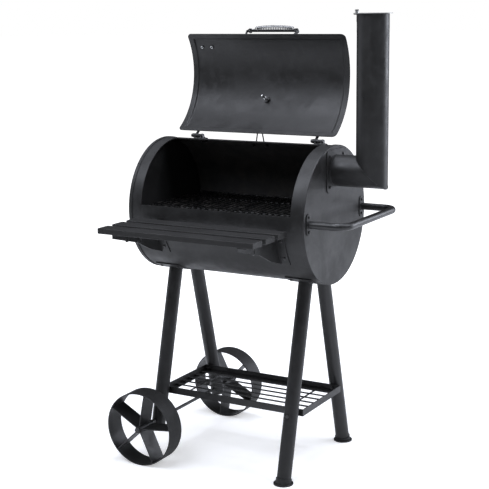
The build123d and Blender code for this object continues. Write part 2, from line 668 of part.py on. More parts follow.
# ---- legs and feet ---------------------------------------------------------------------------------
def leg_plane(side_x, side_y, height):
    """Plane square to a leg's axis where that axis is at the given height, facing up the leg."""
    y = side_y * (LEG_FOOT_Y - LEG_SPLAY * height)
    return Plane(origin=at(side_x * LEG_X, y, height), x_dir=(1, 0, 0), z_dir=(0, -side_y * LEG_SPLAY, 1))


def leg(side_x, side_y, foot_height):
    """Round tube from its foot up to the saddle."""
    with BuildPart() as tube:
        with BuildSketch(leg_plane(side_x, side_y, foot_height - 30)):
            Circle(LEG_RADIUS)
            Circle(LEG_RADIUS - LEG_WALL, mode=Mode.SUBTRACT)
        extrude(amount=(BARREL.Z - 120 - foot_height + 30) * sqrt(1 + LEG_SPLAY ** 2))
        split(bisect_by=Plane(origin=(0, 0, foot_height)), keep=Keep.TOP)
        with BuildSketch(section(side_x * LEG_X - 60)):
            Circle(BARREL_RADIUS + 0.3 + PLATE_THICKNESS)
        extrude(amount=120, mode=Mode.SUBTRACT)
    return tube.part


def foot(side_y):
    """Flanged glide: a flat disc and a low collar round the end of the leg."""
    with BuildPart() as glide:
        with BuildSketch(leg_plane(1, side_y, -10)):
            Circle(LEG_RADIUS + 2.4)
        extrude(amount=26)
        split(bisect_by=Plane(origin=(0, 0, 0)), keep=Keep.TOP)
        with BuildSketch(Plane(origin=at(LEG_X, side_y * LEG_FOOT_Y, 0))):
            Circle(29)
        extrude(amount=FOOT_DISC)
        fillet(glide.edges().filter_by(GeomType.CIRCLE).group_by(Axis.Z)[1], 1.2)
    with BuildPart() as hole:
        with BuildSketch(leg_plane(1, side_y, -10)):
            Circle(LEG_RADIUS + 0.1)
        extrude(amount=60)
        split(bisect_by=Plane(origin=(0, 0, FOOT_DISC)), keep=Keep.TOP)
    with BuildPart() as finished:
        add(glide.part)
        add(hole.part, mode=Mode.SUBTRACT)
    return finished.part


axle_end = WHEEL_Y + WHEEL_WIDTH / 2 + 9
rack_bolt_z = RACK_TOP - RAIL / 2
for name, side_x, foot_height in (("left", -1, 94), ("right", 1, FOOT_DISC + 0.1)):
    for place, side_y in (("front", -1), ("back", 1)):
        part = leg(side_x, side_y, foot_height)
        rack_bolt = Plane(origin=at(side_x * LEG_X, side_y * 150, rack_bolt_z), z_dir=(0, 1, 0))
        part = drill(part, [rack_bolt], BOLT_HOLE, 120)
        if side_x < 0:
            axle_hole = Plane(origin=at(WHEEL_X, side_y * 170, WHEEL_RADIUS), z_dir=(0, 1, 0))
            part = drill(part, [axle_hole], AXLE_RADIUS + 0.1, 120)
        pieces[f"leg_{place}_{name}"] = part
pieces["foot_front"] = foot(-1)
pieces["foot_back"] = foot(1)
with BuildPart() as saddles:
    for side in (-1, 1):
        add(curved_plate(BARREL_RADIUS + GAP, BARREL_RADIUS + GAP + PLATE_THICKNESS, 239, 301,
                         side * LEG_X - 43, side * LEG_X + 43))
pieces["saddles"] = drill(saddles.part, around(SADDLE_BOLTS, BARREL_RADIUS), BOLT_HOLE, 16)


# ---- axle and wheels -------------------------------------------------------------------------------
with BuildPart() as axle:
    with BuildSketch(Plane(origin=at(WHEEL_X, -axle_end, WHEEL_RADIUS), z_dir=(0, 1, 0))):
        Circle(AXLE_RADIUS)
    extrude(amount=2 * axle_end)
pieces["axle"] = axle.part

wheel_side = WHEEL_WIDTH / 2
spoke_start, spoke_end = HUB_RADIUS - 1.5, WHEEL_RADIUS - BAR - GAP
leg_y = LEG_FOOT_Y - LEG_SPLAY * WHEEL_RADIUS
spacer_start = leg_y + LEG_RADIUS * sqrt(1 + LEG_SPLAY ** 2) + 8 * LEG_SPLAY + GAP
spacer_length = WHEEL_Y - wheel_side - 2.2 - spacer_start
washers, spacers, nuts = [], [], []
for name, side in (("front", -1), ("back", 1)):
    centre = Plane(origin=at(WHEEL_X, side * WHEEL_Y, WHEEL_RADIUS), x_dir=(1, 0, 0), z_dir=(0, side, 0))
    inner_face, outer_face = centre.offset(-wheel_side), centre.offset(wheel_side)
    pieces[f"wheel_{name}_rim"] = ring(inner_face, WHEEL_RADIUS, WHEEL_RADIUS - BAR, WHEEL_WIDTH)
    with BuildPart() as spider:
        add(ring(inner_face, HUB_RADIUS, AXLE_RADIUS + RUNNING, WHEEL_WIDTH))
        with BuildSketch(centre.offset(2 - wheel_side)):
            turned = -side * SPOKE_ANGLES[name]
            with PolarLocations((spoke_start + spoke_end) / 2, SPOKES, start_angle=turned):
                Rectangle(spoke_end - spoke_start, BAR)
        extrude(amount=WHEEL_WIDTH - 4)
    pieces[f"wheel_{name}_spider"] = spider.part
    washers += [inner_face.offset(-2.1), outer_face.offset(0.3)]
    spacers.append(centre.offset(spacer_start - WHEEL_Y))
    nuts.append(outer_face.offset(2.2))
washer = ring(Plane.XY, 10, AXLE_RADIUS + 0.05, 1.8)
pieces["axle_washers"] = copies(washer, washers)
pieces["axle_spacers"] = copies(ring(Plane.XY, 8, AXLE_RADIUS + 0.05, spacer_length), spacers)
pieces["axle_nuts"] = copies(hex_nut(6, 15, AXLE_RADIUS + 0.05), nuts)


# ---- lower rack ------------------------------------------------------------------------------------
rack_left, rack_right = RACK_X
rail_low = RACK_TOP - RAIL


def rack_box(inset, low, high):
    """Box over the rack's plan, drawn in by the inset."""
    front, back = inset - RACK_HALF, RACK_HALF - inset
    return box_between(at(rack_left + inset, front, low), at(rack_right - inset, back, high))


with BuildPart() as rack_frame:
    add(rack_box(0, rail_low, RACK_TOP))
    add(rack_box(RAIL_THICKNESS, rail_low + RAIL_THICKNESS, RACK_TOP + 1), mode=Mode.SUBTRACT)
    add(rack_box(RAIL, rail_low - 1, RACK_TOP), mode=Mode.SUBTRACT)
rack_bolt_places = [Plane(origin=at(side_x * LEG_X, side_y * RACK_HALF, rack_bolt_z), z_dir=(0, side_y, 0))
                    for side_x in (-1, 1) for side_y in (-1, 1)]
pieces["rack_frame"] = drill(rack_frame.part, rack_bolt_places, BOLT_HOLE, 20)

rod_z = rail_low + RAIL_THICKNESS + ROD_RADIUS + 0.1
with BuildPart() as rack_rods:
    rod_step = 2 * RACK_HALF / (RACK_RODS + 1)
    for i in range(1, RACK_RODS + 1):
        with BuildSketch(Plane(origin=at(rack_left + 4, i * rod_step - RACK_HALF, rod_z), z_dir=(1, 0, 0))):
            Circle(ROD_RADIUS)
        extrude(amount=rack_right - rack_left - 8)
    for x in RACK_CROSS:
        with BuildSketch(Plane(origin=at(x, -RACK_HALF + RAIL + 1, rod_z - ROD_RADIUS), z_dir=(0, 1, 0))):
            Circle(ROD_RADIUS)
        extrude(amount=2 * (RACK_HALF - RAIL - 1))
pieces["rack_rods"] = rack_rods.part

# long bolts through the legs into the rack's frame
leg_outside = LEG_FOOT_Y - LEG_SPLAY * rack_bolt_z + LEG_RADIUS * sqrt(1 + LEG_SPLAY ** 2)
bolt_head_y = leg_outside + 5 * LEG_SPLAY + GAP
rack_bolt_length = bolt_head_y - RACK_HALF + RAIL_THICKNESS + NUT_HEIGHT + 2
rack_bolt_seats = [place.offset(bolt_head_y - RACK_HALF) for place in rack_bolt_places]
pieces["rack_bolts"] = copies(domed_bolt(rack_bolt_length, 5), rack_bolt_seats)


# ---- bolts and nuts of the barrel and stand ----------------------------------------------------------
barrel_bolt_seats = (around(BRACKET_BOLTS, BARREL_RADIUS + SHEET + 0.5)
                     + around(STOP_BOLTS, BARREL_RADIUS + SHEET + 0.3)
                     + around(SHELF_BOLTS, BARREL_RADIUS + BRACKET_SHEET + 0.3)
                     + around(SADDLE_BOLTS, BARREL_RADIUS + PLATE_THICKNESS + 0.3)
                     + on_end(FLANGE_BOLTS + PUSH_BOLTS, PLATE_THICKNESS + GAP))
pieces["barrel_bolts"] = copies(domed_bolt(BOLT_LENGTH, 4.5), barrel_bolt_seats)
barrel_nut_seats = (around(SHELL_BOLTS, SHELL_INSIDE - GAP - NUT_HEIGHT)
                    + on_end(FLANGE_BOLTS + PUSH_BOLTS, -SHEET - GAP - NUT_HEIGHT)
                    + [place.offset(-RAIL_THICKNESS - GAP - NUT_HEIGHT) for place in rack_bolt_places]
                    + hinge_nut_seats)
pieces["barrel_nuts"] = copies(hex_nut(NUT_HEIGHT), barrel_nut_seats)


# ---- write -----------------------------------------------------------------------------------------
os.makedirs("parts", exist_ok=True)
for label, piece in pieces.items():
    piece.label = label
    export_step(piece, f"parts/{label}.step")
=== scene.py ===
import json
import math

import bmesh
import bpy
from mathutils import Matrix, Vector, noise


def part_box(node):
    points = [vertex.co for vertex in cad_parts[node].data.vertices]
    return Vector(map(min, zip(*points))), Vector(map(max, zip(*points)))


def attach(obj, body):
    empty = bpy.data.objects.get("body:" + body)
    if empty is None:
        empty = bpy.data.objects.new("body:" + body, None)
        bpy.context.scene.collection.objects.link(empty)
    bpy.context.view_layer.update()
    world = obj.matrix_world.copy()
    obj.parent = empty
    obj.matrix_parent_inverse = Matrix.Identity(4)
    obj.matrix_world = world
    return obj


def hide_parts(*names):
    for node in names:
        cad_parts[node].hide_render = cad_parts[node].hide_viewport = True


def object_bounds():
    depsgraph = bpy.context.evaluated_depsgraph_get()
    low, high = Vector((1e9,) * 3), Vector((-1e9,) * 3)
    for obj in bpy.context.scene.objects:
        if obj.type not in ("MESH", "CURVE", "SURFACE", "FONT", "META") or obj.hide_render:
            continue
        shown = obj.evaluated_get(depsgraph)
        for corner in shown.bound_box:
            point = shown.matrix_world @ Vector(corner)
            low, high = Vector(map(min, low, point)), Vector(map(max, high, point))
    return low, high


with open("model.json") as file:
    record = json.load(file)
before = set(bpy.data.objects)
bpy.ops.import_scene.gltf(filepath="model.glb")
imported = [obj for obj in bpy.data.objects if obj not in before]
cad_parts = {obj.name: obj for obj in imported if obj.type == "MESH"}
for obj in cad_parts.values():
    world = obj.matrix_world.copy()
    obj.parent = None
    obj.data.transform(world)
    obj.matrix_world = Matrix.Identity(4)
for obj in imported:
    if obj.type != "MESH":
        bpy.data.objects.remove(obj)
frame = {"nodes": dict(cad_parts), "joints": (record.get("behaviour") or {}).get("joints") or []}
cad_low, cad_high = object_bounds()
nodes = frame["nodes"]
joints = {joint["name"]: joint for joint in frame["joints"]}

MM = 0.001

# ---- sizes of the pieces that are remade here, in millimetres, as the CAD has them -----------------
BARREL_RADIUS = 200
SHEET = 2
LID_RIM_RADIUS = 201.5
LID_STEP = 4
LID_RIM_WIDTH = 18
LID_ANGLES = (86.5, 181)
LID_CORNER = 14
GRIP_ANGLE, GRIP_RADIUS = 174.5, 273
COIL_HALF, COIL_MIDDLE, COIL_END, COIL_WIRE = 68, 10.5, 6.8, 3.2
EYE_X, EYE_RADIUS = 79, 5.4
BRIDGE_THICKNESS = 3
COIL_TURNS = 22
THERMOMETER_ANGLE = 122.9
DIAL_STAND = 6.2
PIPE_RADIUS = 45
SMALL_GAP = 0.2
TREAD_DEPTH = 1.2                   # how far in from a wheel's rim counts as its tread
BRIDGE_DROP = 2.5                   # from the coil's lowest line to the handle's bridge
STEPS_PER_TURN = 22                 # points to each turn of the coil
EYE_STEPS, EYE_SWEEP = 18, 300      # points and degrees round each eye of the wire
BEAD_SIDES = 8
BEAD_STAND = 0.4                    # from the plate that a bead lies on to its line
PIPE_BEAD_POINTS, HANDLE_BEAD_POINTS = 260, 90
MITRE_BEAD, STUB_BEAD, HANDLE_BEAD = 1.5, 1.7, 1.2

shell_low, shell_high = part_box("barrel_shell")
BARREL_AXIS = Vector((
    (shell_low.x + shell_high.x) / 2,
    (shell_low.y + shell_high.y) / 2,
    (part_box("end_plate_left")[0].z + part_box("end_plate_left")[1].z) / 2,
))
BARREL_END = shell_high.x - BARREL_AXIS.x
hinge = joints["lid_hinge"]
LID_PIN = Vector(hinge["pos_m"])
LID_TURN = Matrix.Rotation(math.radians(-hinge["range_deg"][1]), 3, "X")
LID_HALF = (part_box("lid")[1].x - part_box("lid")[0].x) / 2 / MM
LID_OUTSIDE = LID_RIM_RADIUS + LID_STEP + SHEET


# ---- node helpers -----------------------------------------------------------------------------------
def node(tree, kind, inputs=None, **settings):
    """A new node with its settings, and its inputs given as numbers, colours or other nodes' sockets."""
    made = tree.nodes.new(kind)
    for key, value in settings.items():
        setattr(made, key, value)
    for key, value in (inputs or {}).items():
        socket = made.inputs[key]
        if isinstance(value, bpy.types.NodeSocket):
            tree.links.new(value, socket)
        else:
            socket.default_value = value
    return made


def sum_of(tree, operation, first, second=0.0, clamp=False):
    """The result of one Math node."""
    made = node(tree, "ShaderNodeMath", {0: first, 1: second}, operation=operation)
    made.use_clamp = clamp
    return made.outputs[0]


def ramp(tree, value, start, end, low=0.0, high=1.0, smooth=True):
    """A value carried from one range to another, and held at its ends."""
    made = node(tree, "ShaderNodeMapRange", {
        "Value": value, "From Min": start, "From Max": end, "To Min": low, "To Max": high})
    made.interpolation_type = "SMOOTHSTEP" if smooth else "LINEAR"
    return made.outputs[0]


def mixed(tree, factor, first, second):
    """Two colours mixed."""
    made = node(tree, "ShaderNodeMix", {"Factor": factor}, data_type="RGBA")
    for index, value in ((6, first), (7, second)):
        if isinstance(value, bpy.types.NodeSocket):
            tree.links.new(value, made.inputs[index])
        else:
            made.inputs[index].default_value = value
    return made.outputs[2]


def grain(tree, place, scale, detail=3.0, roughness=0.55, distortion=0.0):
    """Noise from 0 to 1, with its scale in features to the metre."""
    made = node(tree, "ShaderNodeTexNoise", {
        "Vector": place, "Scale": scale, "Detail": detail,
        "Roughness": roughness, "Distortion": distortion})
    return made.outputs[0]


def stretched(tree, place, factors):
    """Object coordinates scaled along each axis."""
    made = node(tree, "ShaderNodeMapping", {"Vector": place, "Scale": factors})
    return made.outputs[0]


def length_of(tree, first, second):
    """The length of a flat vector from its two parts."""
    squares = [sum_of(tree, "POWER", part, 2.0) for part in (first, second)]
    return sum_of(tree, "SQRT", sum_of(tree, "ADD", *squares))


def grey(value, warm=0.0):
    """A near-neutral linear colour."""
    return (value * (1 + warm), value, value * (1 - warm), 1)


class Finish:
    """A material under construction: a Principled shader with its colour, roughness and height in layers."""

    def __init__(self, name, colour, roughness, metallic=0.0, specular=0.5):
        self.material = bpy.data.materials.new(name)
        self.material.use_nodes = True
        self.tree = self.material.node_tree
        self.shader = self.tree.nodes["Principled BSDF"]
        self.shader.inputs["Metallic"].default_value = metallic
        self.shader.inputs["Specular IOR Level"].default_value = specular
        self.place = node(self.tree, "ShaderNodeTexCoord").outputs["Object"]
        self.colour = colour
        self.roughness = roughness
        self.height = None
        self.rounding = None

    def tint(self, other, factor):
        """Lays another colour over this one."""
        self.colour = mixed(self.tree, factor, self.colour, other)

    def roughen(self, factor, amount):
        """Adds to the roughness where the factor is high."""
        extra = sum_of(self.tree, "MULTIPLY", factor, amount)
        self.roughness = sum_of(self.tree, "ADD", self.roughness, extra, clamp=True)

    def raise_by(self, pattern, millimetres):
        """Adds a layer of relief."""
        layer = sum_of(self.tree, "MULTIPLY", pattern, millimetres * MM)
        self.height = layer if self.height is None else sum_of(self.tree, "ADD", self.height, layer)

    def round_edges(self, millimetres):
        """Softens the model's sharp edges in the shading."""
        made = node(self.tree, "ShaderNodeBevel", {"Radius": millimetres * MM}, samples=4)
        self.rounding = made.outputs[0]

    def edge_mask(self, millimetres, start=0.985, end=0.86):
        """High along outside edges and in tight corners."""
        soft = node(self.tree, "ShaderNodeBevel", {"Radius": millimetres * MM}, samples=4)
        true = node(self.tree, "ShaderNodeNewGeometry")
        made = node(self.tree, "ShaderNodeVectorMath", {0: soft.outputs[0], 1: true.outputs["Normal"]},
                    operation="DOT_PRODUCT")
        return ramp(self.tree, made.outputs["Value"], start, end)

    def done(self):
        """Joins everything to the shader and gives the material."""
        for key, value in (("Base Color", self.colour), ("Roughness", self.roughness)):
            if isinstance(value, bpy.types.NodeSocket):
                self.tree.links.new(value, self.shader.inputs[key])
            else:
                self.shader.inputs[key].default_value = value
        normal = self.rounding
        if self.height is not None:
            relief = {"Height": self.height, "Strength": 1.0, "Distance": 1.0}
            bump = node(self.tree, "ShaderNodeBump", relief)
            if normal is not None:
                self.tree.links.new(normal, bump.inputs["Normal"])
            normal = bump.outputs[0]
        if normal is not None:
            self.tree.links.new(normal, self.shader.inputs["Normal"])
        return self.material


# ---- finishes ---------------------------------------------------------------------------------------
def powder_coat(name, value=0.014, roughness=0.46, peel=0.05, wear=0.35, rounding=0.7):
    """Satin black baked paint: orange peel, fine grit, clouded gloss, and burnished edges."""
    made = Finish(name, grey(value, 0.02), roughness)
    tree, place = made.tree, made.place
    clouds = grain(tree, place, 9, 4, 0.6, 0.4)
    patches = grain(tree, place, 46, 5, 0.62)
    grit = grain(tree, place, 620, 4, 0.65)
    cells = grain(tree, place, 260, 2, 0.5)
    made.tint(grey(value * 1.9, 0.01), ramp(tree, patches, 0.45, 0.75, 0, 0.55))
    made.tint(grey(value * 0.55), ramp(tree, clouds, 0.35, 0.15, 0, 0.6))
    dust = ramp(tree, grain(tree, place, 1500, 2, 0.5), 0.70, 0.80)
    made.tint(grey(0.09, 0.03), sum_of(tree, "MULTIPLY", dust, 0.35))
    made.roughen(ramp(tree, clouds, 0.3, 0.7, -1, 1), 0.10)
    made.roughen(ramp(tree, patches, 0.3, 0.7, -1, 1), 0.05)
    made.raise_by(cells, peel)
    made.raise_by(grit, peel * 0.45)
    flaking = ramp(tree, grain(tree, place, 70, 4), 0.42, 0.68)
    rubbed = sum_of(tree, "MULTIPLY", made.edge_mask(1.4), flaking)
    made.tint(grey(0.055), sum_of(tree, "MULTIPLY", rubbed, wear))
    made.roughen(rubbed, -0.12)
    made.round_edges(rounding)
    return made


def barrel_coat():
    """The barrel's paint outside; inside, matt soot and baked-on smoke, made lighter than soot so that it
    stands in for light reaching the inside (painted light), and a little ash low down.
    """
    made = powder_coat("barrel_satin_black", value=0.015, roughness=0.48)
    tree = made.tree
    parts = node(tree, "ShaderNodeSeparateXYZ", {"Vector": made.place})
    across = sum_of(tree, "SUBTRACT", parts.outputs["Y"], BARREL_AXIS.y)
    above = sum_of(tree, "SUBTRACT", parts.outputs["Z"], BARREL_AXIS.z)
    along = sum_of(tree, "ABSOLUTE", sum_of(tree, "SUBTRACT", parts.outputs["X"], BARREL_AXIS.x))
    radius = length_of(tree, across, above)
    inside_round = sum_of(tree, "LESS_THAN", radius, (BARREL_RADIUS - SHEET / 2) * MM)
    inside_ends = sum_of(tree, "LESS_THAN", along, BARREL_END - SHEET / 2 * MM + 0.0001)
    inside = sum_of(tree, "MULTIPLY", inside_round, inside_ends)
    smoke = grain(tree, made.place, 14, 6, 0.7, 0.8)
    crust = grain(tree, made.place, 190, 5, 0.7)
    # painted light: the inside's soot colour is lighter than soot, standing in for light that the lamps do
    # not bring inside
    soot_with_painted_light = mixed(tree, ramp(tree, smoke, 0.35, 0.7), grey(0.036), grey(0.060, 0.08))
    made.tint(soot_with_painted_light, inside)
    dullness = sum_of(tree, "MULTIPLY", inside, ramp(tree, smoke, 0.3, 0.7, 0.30, 0.46))
    made.roughness = sum_of(tree, "ADD", made.roughness, dullness, clamp=True)
    made.raise_by(sum_of(tree, "MULTIPLY", crust, inside), 0.35)
    low = ramp(tree, above, -0.02, -0.19)
    ash = sum_of(tree, "MULTIPLY", sum_of(tree, "MULTIPLY", inside, low), ramp(tree, smoke, 0.5, 0.72))
    made.tint(grey(0.035, 0.05), sum_of(tree, "MULTIPLY", ash, 0.5))
    return made.done()


def chimney_coat():
    """Paint on rolled pipe: the powder coat with faint lengthways drawing marks."""
    made = powder_coat("chimney_satin_black", value=0.013, roughness=0.43)
    tree = made.tree
    draw = grain(tree, stretched(tree, made.place, (220, 220, 9)), 1, 3)
    made.raise_by(draw, 0.02)
    made.roughen(ramp(tree, draw, 0.35, 0.65, -1, 1), 0.03)
    return made.done()


def slat_coat():
    """Painted wood: filled grain that runs with the slat, brush gloss and rubbed edges."""
    made = Finish("slat_satin_black", grey(0.012, 0.03), 0.56, specular=0.42)
    tree, place = made.tree, made.place
    fibres = grain(tree, stretched(tree, place, (7, 170, 240)), 1, 6, 0.62, 0.6)
    pores = grain(tree, stretched(tree, place, (45, 900, 900)), 1, 3, 0.5)
    figure = grain(tree, stretched(tree, place, (2.2, 26, 26)), 1, 4, 0.5, 1.6)
    made.tint(grey(0.021, 0.06), ramp(tree, fibres, 0.45, 0.7, 0, 0.7))
    made.tint(grey(0.007), ramp(tree, figure, 0.42, 0.3, 0, 0.6))
    made.roughen(ramp(tree, fibres, 0.3, 0.7, -1, 1), 0.08)
    made.roughen(ramp(tree, grain(tree, place, 11, 3), 0.3, 0.7, -1, 1), 0.05)
    made.raise_by(fibres, 0.16)
    made.raise_by(ramp(tree, pores, 0.36, 0.26), -0.08)
    rubbed = sum_of(tree, "MULTIPLY", made.edge_mask(2.2), ramp(tree, fibres, 0.42, 0.62))
    made.tint(grey(0.06, 0.1), sum_of(tree, "MULTIPLY", rubbed, 0.35))
    made.round_edges(1.6)
    return made.done()


def gloss_coat():
    """Dip-coated push handle: deep gloss black over faint waves."""
    made = Finish("push_gloss_black", grey(0.008), 0.33, specular=0.5)
    tree, place = made.tree, made.place
    waves = grain(tree, place, 38, 3, 0.5)
    hand_marks = grain(tree, place, 16, 5, 0.65, 0.5)
    made.tint(grey(0.016, 0.03), ramp(tree, waves, 0.4, 0.7, 0, 0.8))
    made.roughen(ramp(tree, hand_marks, 0.35, 0.7), 0.14)
    made.roughen(ramp(tree, grain(tree, place, 300, 3), 0.5, 0.75), 0.07)
    made.raise_by(waves, 0.05)
    made.raise_by(grain(tree, place, 420, 2), 0.012)
    made.shader.inputs["Coat Weight"].default_value = 0.15
    made.shader.inputs["Coat Roughness"].default_value = 0.2
    return made.done()


def enamel():
    """Vitreous enamel on wire: glassy black, pitted, with dull baked-on patches."""
    made = Finish("grate_enamel_black", grey(0.007), 0.24, specular=0.6)
    tree, place = made.tree, made.place
    baked = ramp(tree, grain(tree, place, 34, 6, 0.7, 0.6), 0.47, 0.62)
    made.tint(grey(0.02, 0.16), sum_of(tree, "MULTIPLY", baked, 0.8))
    made.roughen(baked, 0.34)
    made.roughen(ramp(tree, grain(tree, place, 500, 3), 0.4, 0.7), 0.1)
    made.raise_by(grain(tree, place, 160, 4, 0.6), 0.12)
    made.raise_by(sum_of(tree, "MULTIPLY", baked, grain(tree, place, 380, 3)), 0.12)
    return made.done()


def bright_steel(name, colour, roughness, lines=(1, 1, 1), marks=0.10):
    """Bare or plated steel: draw lines along one axis, small stains, and painted shade that darkens it along
    its edges and in its corners.
    """
    made = Finish(name, colour, roughness, metallic=1.0)
    tree, place = made.tree, made.place
    drawn = grain(tree, stretched(tree, place, lines), 260, 4, 0.6)
    stains = grain(tree, place, 120, 5, 0.65, 0.3)
    stain_and_shade_tone = tuple(channel * 0.5 for channel in colour[:3]) + (1,)
    made.tint(stain_and_shade_tone, ramp(tree, stains, 0.5, 0.75, 0, 0.6))
    # painted shade: the steel's colour darkened along its edges and in its tight corners
    made.tint(stain_and_shade_tone, sum_of(tree, "MULTIPLY", made.edge_mask(0.9), 0.35))
    made.roughen(ramp(tree, drawn, 0.3, 0.7, -1, 1), marks)
    made.roughen(ramp(tree, stains, 0.45, 0.7), marks)
    made.raise_by(drawn, 0.02)
    made.round_edges(0.4)
    return made.done()


def black_oxide(name, roughness):
    """Blackened steel of small bolts and nuts: the powder coat, finer and with tighter edges."""
    return powder_coat(name, value=0.02, roughness=roughness, peel=0.02, rounding=0.4).done()


def moulded(name, value, roughness):
    """Moulded black plastic: leather-fine mould texture, scuffed where it meets the ground."""
    made = Finish(name, grey(value, 0.01), roughness, specular=0.45)
    tree, place = made.tree, made.place
    cells = node(tree, "ShaderNodeTexVoronoi", {"Vector": place, "Scale": 900}).outputs["Distance"]
    scuffs = ramp(tree, grain(tree, stretched(tree, place, (60, 60, 400)), 1, 5, 0.7), 0.55, 0.7)
    height = node(tree, "ShaderNodeSeparateXYZ", {"Vector": place}).outputs["Z"]
    low = ramp(tree, height, 0.012, 0.001)
    made.tint(grey(0.10, 0.06), sum_of(tree, "MULTIPLY", sum_of(tree, "MULTIPLY", scuffs, low), 0.8))
    made.tint(grey(value * 1.6), ramp(tree, grain(tree, place, 60, 4), 0.45, 0.7, 0, 0.5))
    made.roughen(scuffs, 0.12)
    made.raise_by(cells, 0.05)
    made.round_edges(0.6)
    return made.done()


def wheel_coat():
    """Powder coat that is dusty and scratched on the tread and clean on the spokes."""
    made = powder_coat("wheel_satin_black", value=0.013, roughness=0.47, wear=0.5)
    tree, place = made.tree, made.place
    axle_x, axle_z = joints["wheel_front_spin"]["pos_m"][0], joints["wheel_front_spin"]["pos_m"][2]
    parts = node(tree, "ShaderNodeSeparateXYZ", {"Vector": place})
    along = sum_of(tree, "SUBTRACT", parts.outputs["X"], axle_x)
    above = sum_of(tree, "SUBTRACT", parts.outputs["Z"], axle_z)
    tread = sum_of(tree, "GREATER_THAN", length_of(tree, along, above), axle_z - TREAD_DEPTH * MM)
    scratches = ramp(tree, grain(tree, stretched(tree, place, (90, 900, 90)), 1, 5, 0.7, 0.4), 0.56, 0.66)
    made.tint(grey(0.05, 0.08), sum_of(tree, "MULTIPLY", sum_of(tree, "MULTIPLY", tread, scratches), 0.6))
    made.roughen(tread, 0.12)
    made.raise_by(sum_of(tree, "MULTIPLY", scratches, tread), -0.05)
    return made.done()


def dial_face():
    """Printed dial: off-white card with faint fibres."""
    made = Finish("dial_white", (0.78, 0.77, 0.72, 1), 0.5, specular=0.4)
    tree, place = made.tree, made.place
    fibres = grain(tree, place, 900, 4, 0.6)
    made.tint((0.62, 0.60, 0.54, 1), ramp(tree, grain(tree, place, 60, 4), 0.45, 0.75, 0, 0.45))
    made.raise_by(fibres, 0.01)
    made.roughen(ramp(tree, fibres, 0.4, 0.7, -1, 1), 0.06)
    return made.done()


def ink(name, colour):
    """Screen-printed ink."""
    made = Finish(name, colour, 0.42)
    tree, place = made.tree, made.place
    made.tint(tuple(channel * 0.7 for channel in colour[:3]) + (1,),
              ramp(tree, grain(tree, place, 700, 3), 0.45, 0.7, 0, 0.5))
    made.raise_by(grain(tree, place, 1400, 2), 0.01)
    return made.done()


def clear_glass():
    """Thin dial glass with faint smears."""
    made = Finish("dial_glass", (0.95, 0.97, 0.96, 1), 0.03)
    tree, place = made.tree, made.place
    made.roughen(ramp(tree, grain(tree, place, 70, 5, 0.7), 0.5, 0.75), 0.09)
    made.raise_by(grain(tree, place, 40, 2), 0.01)
    made.shader.inputs["Transmission Weight"].default_value = 1.0
    made.shader.inputs["IOR"].default_value = 1.45
    return made.done()


ZINC = (0.62, 0.63, 0.63, 1)
finishes = {
    "barrel_paint": barrel_coat(),
    "lid_paint": powder_coat("lid_satin_black", value=0.018, roughness=0.46).done(),
    "chimney_paint": chimney_coat(),
    "damper_steel": bright_steel("damper_plated_steel", (0.34, 0.34, 0.335, 1), 0.46, lines=(1, 0.04, 1)),
    "push_gloss": gloss_coat(),
    "shelf_paint": slat_coat(),
    "bracket_paint": powder_coat("bracket_satin_black", roughness=0.47, peel=0.04).done(),
    "leg_paint": powder_coat("leg_satin_black", value=0.013, roughness=0.45).done(),
    "wheel_paint": wheel_coat(),
    "rack_paint": powder_coat("rack_satin_black", roughness=0.44, peel=0.035).done(),
    "grate_enamel": enamel(),
    "foot_plastic": moulded("foot_black_plastic", 0.014, 0.5),
    "coil_steel": bright_steel("coil_spring_steel", grey(0.30), 0.28, lines=(0.15, 1, 1), marks=0.06),
    "fastener_black": black_oxide("bolt_black_oxide", 0.36),
    "fastener_zinc": bright_steel("nut_zinc", ZINC, 0.26, marks=0.08),
    "hinge_steel": bright_steel("pin_black_oxide", (0.09, 0.09, 0.092, 1), 0.36, lines=(0.08, 1, 1)),
    "thermometer_bezel": bright_steel("bezel_steel", (0.60, 0.60, 0.59, 1), 0.22, marks=0.07),
    "thermometer_nut_black": black_oxide("nut_black_oxide", 0.38),
    "thermometer_face": dial_face(),
    "thermometer_needle": ink("needle_red", (0.42, 0.02, 0.012, 1)),
    "thermometer_glass": clear_glass(),
}
for subpart in nodes.values():
    for index, material in enumerate(subpart.data.materials):
        subpart.data.materials[index] = finishes[material.name.split(".")[0]]


# ---- mesh helpers -----------------------------------------------------------------------------------
def piece(name, mesh, finish, body, smooth=True):
    """An object for a mesh that is already in place, which rides on a body."""
    mesh.materials.clear()
    mesh.materials.append(finish)
    for polygon in mesh.polygons:
        polygon.use_smooth = smooth
    made = bpy.data.objects.new(name, mesh)
    bpy.context.scene.collection.objects.link(made)
    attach(made, body)
    return made


def tube(points, radii, sides=10, closed=False):
    """A round rod through points, with its own radius at each; all in metres."""
    count = len(points)
    work = bmesh.new()
    rings = []
    side = None
    for i, point in enumerate(points):
        if closed:
            ahead = points[(i + 1) % count] - points[i - 1]
        else:
            ahead = points[min(i + 1, count - 1)] - points[max(i - 1, 0)]
        ahead.normalize()
        if side is None:
            side = ahead.orthogonal().normalized()
        side = (side - ahead * side.dot(ahead)).normalized()
        up = ahead.cross(side)
        radius = radii[i] if isinstance(radii, (list, tuple)) else radii
        turns = [math.tau * k / sides for k in range(sides)]
        rims = [point + (side * math.cos(t) + up * math.sin(t)) * radius for t in turns]
        rings.append([work.verts.new(rim) for rim in rims])
    for i in range(count if closed else count - 1):
        first, second = rings[i], rings[(i + 1) % count]
        shift = 0
        if closed and i == count - 1:
            gaps = [sum((first[k].co - second[(k + s) % sides].co).length for k in range(sides))
                    for s in range(sides)]
            shift = gaps.index(min(gaps))
        for k in range(sides):
            work.faces.new((first[k], first[(k + 1) % sides],
                            second[(k + 1 + shift) % sides], second[(k + shift) % sides]))
    if not closed:
        work.faces.new(reversed(rings[0]))
        work.faces.new(rings[-1])
    bmesh.ops.recalc_face_normals(work, faces=work.faces)
    mesh = bpy.data.meshes.new("tube")
    work.to_mesh(mesh)
    work.free()
    return mesh


